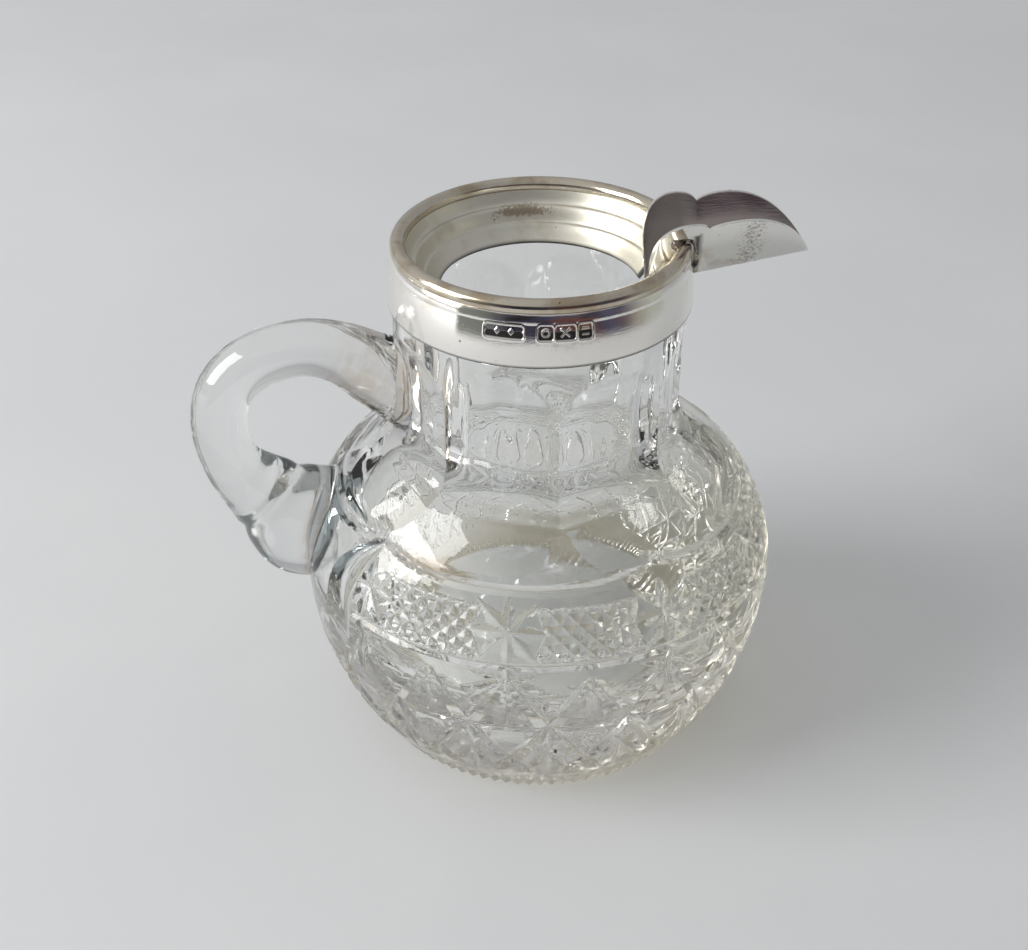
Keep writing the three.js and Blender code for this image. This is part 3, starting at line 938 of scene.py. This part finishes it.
def markShape(angle, z, markHeight):
    # how far the marks stand in (negative) or out of the collar, and how dark their ground is
    relief = np.zeros_like(angle + z)
    ground = np.zeros_like(relief)
    for mark in marks:
        across = np.radians(wrapped(angle - mark["at"])) * jug["collar"]
        v = z - markHeight
        corner = 0.5
        outX = np.maximum(np.abs(across) - mark["wide"] + corner, 0)
        outZ = np.maximum(np.abs(v) - mark["high"] + corner, 0)
        edge = np.hypot(outX, outZ) - corner
        inside = capped(-edge / 0.14)
        rim = hump(edge - 0.12, 0.13)
        if mark["motif"] == "lozenges":
            figure = 0.52 - np.abs((across / 2.1 % 1 - 0.5) * 2.1) - np.abs(v) * 0.8
        elif mark["motif"] == "ring":
            figure = 0.2 - np.abs(np.hypot(across, v) - 0.55)
        elif mark["motif"] == "cross":
            figure = 0.22 - np.minimum(np.abs(across - v), np.abs(across + v)) * 0.7
            figure = np.where(np.hypot(across, v) < 1.0, figure, -1)
        else:
            figure = 0.2 - np.abs(np.abs(v) - 0.5)
            figure = np.where(np.abs(across) < 0.55, figure, -1)
        raised = capped(figure / 0.12)
        relief = relief - 0.16 * inside * (1 - 0.7 * raised) + 0.07 * rim
        ground = np.maximum(ground, inside * (1 - 0.85 * raised))
    return relief, ground


def collarBand():
    foot, top = jug["collarFoot"], jug["rim"]
    outer = jug["collar"]
    rollBase = top - mount["rollHeight"]
    topOut = [wireAt[0] + wireSeat * math.cos(math.radians(25)),
              wireAt[1] - wireSeat * math.sin(math.radians(25))]
    rollEnd = math.asin((topOut[1] - rollBase) / mount["rollHeight"])
    deep = (outer - topOut[0]) / (1 - math.cos(rollEnd))
    band = [[outer - 0.3, foot], [outer - 0.12, foot + 0.04], [outer - 0.02, foot + 0.18],
            [outer, foot + 0.4]]
    band += [[outer, z] for z in np.linspace(foot + 0.6, rollBase - 0.2, 92)]
    roll = [[outer - deep * (1 - math.cos(t)), rollBase + mount["rollHeight"] * math.sin(t)]
            for t in np.linspace(0, rollEnd, 26)]
    inner = [[wireAt[0] + wireSeat * math.cos(t), wireAt[1] - wireSeat * math.sin(t)]
             for t in np.radians([32, 40, 50, 62])]
    inner += [[outer - mount["wall"], rollBase], [outer - mount["wall"], foot]]
    outline = np.array(band + roll + inner)
    # the whole band is gently rounded, and draws in towards the rim
    swell = capped((outline[:, 1] - foot - 1.2) / (rollBase - foot - 1.2))
    outline[:len(band) + len(roll), 0] += mount["swell"] * (0.35 - swell ** 2)[:len(band) + len(roll)]
    coarse = np.linspace(-180, 180, mount["columns"], endpoint=False)
    fineFrom, fineTo = marks[0]["at"] - 11, marks[-1]["at"] + 5
    fine = np.arange(fineFrom, fineTo, 0.16)
    degrees = np.sort(np.concatenate([coarse[(coarse < fineFrom - 0.5) | (coarse > fineTo + 0.5)], fine]))
    markHeight = foot + mount["markHeight"]
    relief, _ = markShape(degrees[None, :], outline[:, 1][:, None], markHeight)
    outward = np.concatenate([np.ones(len(band) + len(roll)), np.zeros(len(inner))])[:, None]
    # the band was rubbed thin and wavy by hand
    wave = 0.03 * np.sin(np.radians(degrees[None, :] * 5)) * np.sin((outline[:, 1][:, None] - foot) * 0.6)
    radius = outline[:, 0][:, None] + (relief + wave) * outward
    angles = np.radians(degrees)
    z = np.broadcast_to(outline[:, 1][:, None], radius.shape)
    points = np.stack([radius * np.cos(angles), radius * np.sin(angles), z], -1).reshape(-1, 3)
    faces = aroundQuads(len(outline), len(angles), closed=True).tolist()
    piece = newPiece("silver_collar", points, faces, sterling, 35)

    # the punched marks' grounds are tarnished, and the band is darker along its foot
    def darkeningAt(spots):
        around = degreesOf(spots)
        onFace = reachOf(spots) > outer - 0.35
        _, dark = markShape(around, spots[:, 2], markHeight)
        edge = capped(1.2 - (spots[:, 2] - foot) / 0.5)
        return np.maximum(dark * onFace, edge)

    return finishRing(piece, "collar_band", darkeningAt, 35)


def rimWire():
    radius = jug["wire"]
    turns = wholeTurn(36)
    outline = [[wireAt[0] + radius * math.cos(t), wireAt[1] + radius * math.sin(t)] for t in turns]
    return silverRing("rim_wire_ring", outline, wireSilver, "rim_wire")


def innerLining():
    top = [wireAt[0] + wireSeat * math.cos(math.radians(205)),
           wireAt[1] + wireSeat * math.sin(math.radians(205))]
    mouth, foot = jug["neckBore"] - 1.2, jug["liningFoot"]
    shares = [[0, 0], [0.26, 0.2], [0.4, 0.34], [0.5, 0.38], [0.68, 0.68], [0.84, 0.72], [1, 1]]
    face = smoothLine([[mouth + (top[0] - mouth) * a, foot + (top[1] - foot) * b] for a, b in shares], 6)
    tangent = unitRows(np.gradient(face, axis=0))
    back = face + np.stack([tangent[:, 1], -tangent[:, 0]], -1) * mount["liningWall"]
    outline = np.vstack([face, back[::-1]])

    # darker along its lower edge
    def darkeningAt(spots):
        rise = (spots[:, 2] - foot) / (top[1] - foot)
        return capped(1 - rise / 0.05) * 0.9

    piece = silverRing("stepped_lining", outline, liningSilver, "inner_lining",
                       darkeningAt, 28)
    spots = vertexPlaces(piece)
    around = degreesOf(spots)
    rise = (spots[:, 2] - foot) / (top[1] - foot)
    patch = 0.8 * hump(wrapped(around - 92), 26) * hump(rise - 0.6, 0.2)
    paint(piece, "patch", patch)
    return piece


collarBand()
rimWire()
innerLining()
print("silver rings turned")


def bezier(p, q, r, s, steps):
    t = np.linspace(0, 1, steps)[:, None]
    p, q, r, s = (np.array(v, float) for v in (p, q, r, s))
    return (1 - t) ** 3 * p + 3 * (1 - t) ** 2 * t * q + 3 * (1 - t) * t ** 2 * r + t ** 3 * s


def cheekTop():
    # upper edge of a cheek in side view, from its inner end to the tip
    rim, collar = jug["rim"], jug["collar"]
    crest, cusp = rim + lip["crest"], rim + lip["cusp"]
    inner, tip = collar - lip["inner"], jug["tip"]
    small, cuspX, big = collar - 1.3, collar + 1.7, collar + 6.9
    return np.vstack([
        [[inner, keelAt(inner) + 0.4]],
        bezier([inner - 0.3, rim - 4.4], [inner - 0.4, rim - 1], [inner + 0.8, crest], [small, crest], 30),
        bezier([small, crest], [small + 1.5, crest], [cuspX - 0.6, cusp + 0.8], [cuspX, cusp], 20)[1:],
        bezier([cuspX, cusp], [cuspX + 0.7, cusp + 0.5], [big - 3, crest], [big, crest + 0.1], 20)[1:],
        bezier([big, crest + 0.1], [big + 6.2, crest + 0.2], [tip - 2, keelAt(tip) + 4.2],
               [tip, keelAt(tip) + 0.35], 34)[1:],
    ])


def cheek(name, node, side):
    edge = cheekTop()
    rows = 26
    share = np.linspace(0, 1, rows)[:, None]
    floor = keelAt(edge[:, 0]) + 0.15
    x = np.broadcast_to(edge[:, 0], (rows, len(edge)))
    z = floor + (edge[:, 1] - floor) * share
    rise = z - keelAt(x)
    # the sheet bellies out a little between the keel and its rim
    bow = 0.35 * np.sin(np.pi * share) * capped((jug["tip"] - x) / 8)
    lean = rise * math.tan(lip["halfAngle"]) + bow + 0.1
    wall = lip["wall"] / math.cos(lip["halfAngle"])
    inside = np.stack([x, side * lean, z], -1)
    outside = np.stack([x, side * (lean + wall), z], -1)
    count = rows * len(edge)
    sheet = sheetQuads(rows, len(edge))
    border = list(range(len(edge)))
    border += [i * len(edge) + len(edge) - 1 for i in range(1, rows)]
    border += [(rows - 1) * len(edge) + j for j in range(len(edge) - 2, -1, -1)]
    border += [i * len(edge) for i in range(rows - 2, 0, -1)]
    strip = [[a, b, b + count, a + count] for a, b in zip(border, border[1:] + border[:1])]
    points = np.vstack([inside.reshape(-1, 3), outside.reshape(-1, 3)])
    faces = np.vstack([sheet[:, ::-1], sheet + count, strip]).tolist()
    piece = newPiece(name, points, faces, lipSilver, 40)
    faceOutward(piece.data, dropSlivers=True)
    bevel = piece.modifiers.new("worn_edge", "BEVEL")
    bevel.width = 0.22 * mm
    bevel.segments = 3
    bevel.limit_method = "ANGLE"
    bevel.angle_limit = math.radians(50)
    spots = vertexPlaces(piece)
    # painted shade with dirt where the cheek's outside meets the collar, and painted shade deepening
    # inside the lip towards the mouth
    collarGap = np.abs(reachOf(spots) - jug["collar"] - 0.3)
    isOutside = np.arange(len(spots)) >= count
    jointShadeAndGrime = capped(1 - collarGap / 0.95) * isOutside * (spots[:, 2] < jug["rim"] + 1.2)
    throat = np.clip((jug["collar"] + 0.5 - spots[:, 0]) / 4, 0, 0.4) * ~isOutside
    paint(piece, "grime", np.maximum(jointShadeAndGrime, throat))
    if side > 0:
        dulled = ~isOutside * 1.0
    else:
        dulled = 0.58 * isOutside * hump(spots[:, 0] - jug["tip"] + 10, 6)
    paint(piece, "patch", dulled)
    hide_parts(node)
    return piece


cheek("lip_cheek_left", "spout_cheek_left", 1)
cheek("lip_cheek_right", "spout_cheek_right", -1)
print("lip cheeks raised")


seam = {
    "radius": 0.42,
    "sides": 14,
    "blobAt": 0.86,  # share of the way up and over the rim
}


def solderSeam(name, node, side, seed, blob):
    away = 0.1 + seam["radius"] * 0.6
    outer, top = jug["collar"] + away, wireAt[1] + jug["wire"] + away
    inner = wireAt[0] - jug["wire"] - away
    rollBase = jug["rim"] - mount["rollHeight"]
    route = [[outer, keelAt(outer) + 0.6], [outer, (keelAt(outer) + rollBase) / 2], [outer, rollBase],
             [outer - 0.4, rollBase + mount["rollHeight"] * 0.6], [wireAt[0] + 1, top - 0.2],
             [wireAt[0], top], [inner + 0.4, top - 0.8], [inner, wireAt[1]]]
    line = smoothLine(route, 12)
    beside = lip["wall"] / math.cos(lip["halfAngle"]) + seam["radius"] * 0.4
    y = (line[:, 1] - keelAt(line[:, 0])) * math.tan(lip["halfAngle"]) + beside
    path = np.stack([np.sqrt(line[:, 0] ** 2 - y ** 2), side * y, line[:, 1]], -1)
    random = np.random.default_rng(seed)
    knots = np.arange(0, len(path) + 5, 5)
    lumps = np.interp(np.arange(len(path)), knots, random.uniform(0.7, 1.25, len(knots)))
    share = np.linspace(0, 1, len(path))
    radius = seam["radius"] * lumps * (1 + blob * hump(share - seam["blobAt"], 0.1))
    radius[0] = radius[-1] = 0.08
    forward = unitRows(np.gradient(path, axis=0))
    first = unitRows(np.cross(forward, [0, 1, 0]))
    second = np.cross(forward, first)
    turns = wholeTurn(seam["sides"])[:, None, None]
    rings = path + radius[:, None] * (first * np.cos(turns) + second * np.sin(turns))
    points = rings.transpose(1, 0, 2).reshape(-1, 3)
    sides = seam["sides"]
    quads = aroundQuads(len(path), sides).tolist()
    mesh = bpy.data.meshes.new(name)
    caps = [list(range(sides)), list(range(len(points) - 1, len(points) - sides - 1, -1))]
    mesh.from_pydata((points * mm).tolist(), [], quads + caps)
    faceOutward(mesh)
    piece = dressed(name, mesh, solderMetal, 60)
    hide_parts(node)
    return piece


solderSeam("lip_solder_left", "solder_seam_left", 1, 3, 0.1)
solderSeam("lip_solder_right", "solder_seam_right", -1, 8, 1.3)
bpy.data.objects.remove(lipWay)

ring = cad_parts["bedding_ring"]
ring.data.materials.clear()
ring.data.materials.append(bedding)
print("solder run and plaster bedded")


# the room, in metres and degrees
studio = {
    "lens": 56.03,  # millimetres
    "cameraAt": (-0.03027, -0.22592, 0.1946),
    "tilt": 56.57,
    "turn": -6.6,
    "sky": 0.59,
    "window": 11.0,
    "windowAt": (-0.98, -0.14, 0.5),
    "windowSize": (0.7, 0.62),
    "cardReach": 0.32,
    "cardHeight": 0.22,
    "cardTurns": (-156, -2),
    "glassBounces": 24,
}


def tableTop():
    made = Finish("table_white")
    cloud = made.noise(0.012, 3)
    colour = made.mix(made.span(cloud, 0.35, 0.7), (0.70, 0.715, 0.73, 1), (0.73, 0.74, 0.75, 1))
    material = made.close({"Base Color": colour, "Roughness": 0.75 + cloud * 0.1,
                           "Normal": made.bump(made.noise(0.4, 3), 0.00002)})
    bpy.ops.mesh.primitive_grid_add(x_subdivisions=4, y_subdivisions=4, size=3)
    table = bpy.context.object
    table.name = "table_top"
    table.data.materials.append(material)


def softbox(name, place, size, power, colour):
    lamp = bpy.data.lights.new(name, "AREA")
    lamp.shape = "RECTANGLE"
    lamp.size, lamp.size_y = size
    lamp.energy = power
    lamp.color = colour
    lampObject = placed(name, lamp)
    lampObject.location = place
    towards = Vector((0, 0, 0.04)) - Vector(place)
    lampObject.rotation_euler = towards.to_track_quat("-Z", "Y").to_euler()


def room():
    world = bpy.data.worlds.new("pale_room")
    world.use_nodes = True
    bpy.context.scene.world = world
    made = Finish("pale_room", world.node_tree)
    left = made.along(made.node("ShaderNodeTexCoord", out="Generated"), (-0.86, 0.1, 0.5))
    colour = made.mix(made.span(left, -0.1, 1.0), (0.62, 0.63, 0.65, 1), (1.0, 1.0, 0.99, 1))
    sockets = {"Color": colour, "Strength": studio["sky"]}
    surface = made.node("ShaderNodeBackground", None, sockets, "Background")
    made.node("ShaderNodeOutputWorld", None, {"Surface": surface})


def darkCard():
    # a dark curved card in front of the jug, which only gives the silver something to reflect
    turns = np.radians(np.linspace(*studio["cardTurns"], 40))
    rows = np.linspace(0.0, studio["cardHeight"], 5)
    grid = turnedPoints([[studio["cardReach"], z] for z in rows], turns)
    points = grid.reshape(-1, 3)
    mesh = bpy.data.meshes.new("dark_card")
    mesh.from_pydata(points.tolist(), [], sheetQuads(len(rows), len(turns)).tolist())
    made = Finish("dark_card")
    fold = made.span(made.noise(0.012, 3, (1, 1, 0.3)), 0.38, 0.62)
    colour = made.mix(fold, (0.014, 0.014, 0.02, 1), (0.08, 0.075, 0.14, 1))
    warm = made.span(made.noise(0.009, 2), 0.5, 0.62)
    colour = made.mix(warm, colour, (0.13, 0.05, 0.04, 1))
    side = made.along(made.place(), (0.982, 0.191, 0))
    colour = made.mix(made.span(side * side, 0.035, 0.09), colour, (0.36, 0.38, 0.34, 1))
    mesh.materials.append(made.close({"Base Color": colour, "Roughness": 0.9}))
    card = placed("dark_card", mesh)
    card.visible_camera = False
    card.visible_diffuse = False
    card.visible_transmission = False
    card.visible_shadow = False


def camera():
    lens = bpy.data.cameras.new("view")
    lens.lens = studio["lens"]
    lens.sensor_width = 36
    lens.clip_start = 0.01
    viewer = placed("view", lens)
    viewer.location = studio["cameraAt"]
    viewer.rotation_euler = (math.radians(studio["tilt"]), 0, math.radians(studio["turn"]))
    bpy.context.scene.camera = viewer


tableTop()
room()
softbox("window_left", studio["windowAt"], studio["windowSize"], studio["window"], (1.0, 0.99, 0.97))
darkCard()
camera()
scene = bpy.context.scene
scene.view_settings.view_transform = "Standard"
scene.cycles.max_bounces = studio["glassBounces"]
scene.cycles.transmission_bounces = studio["glassBounces"]
scene.cycles.glossy_bounces = 8
print("studio set")
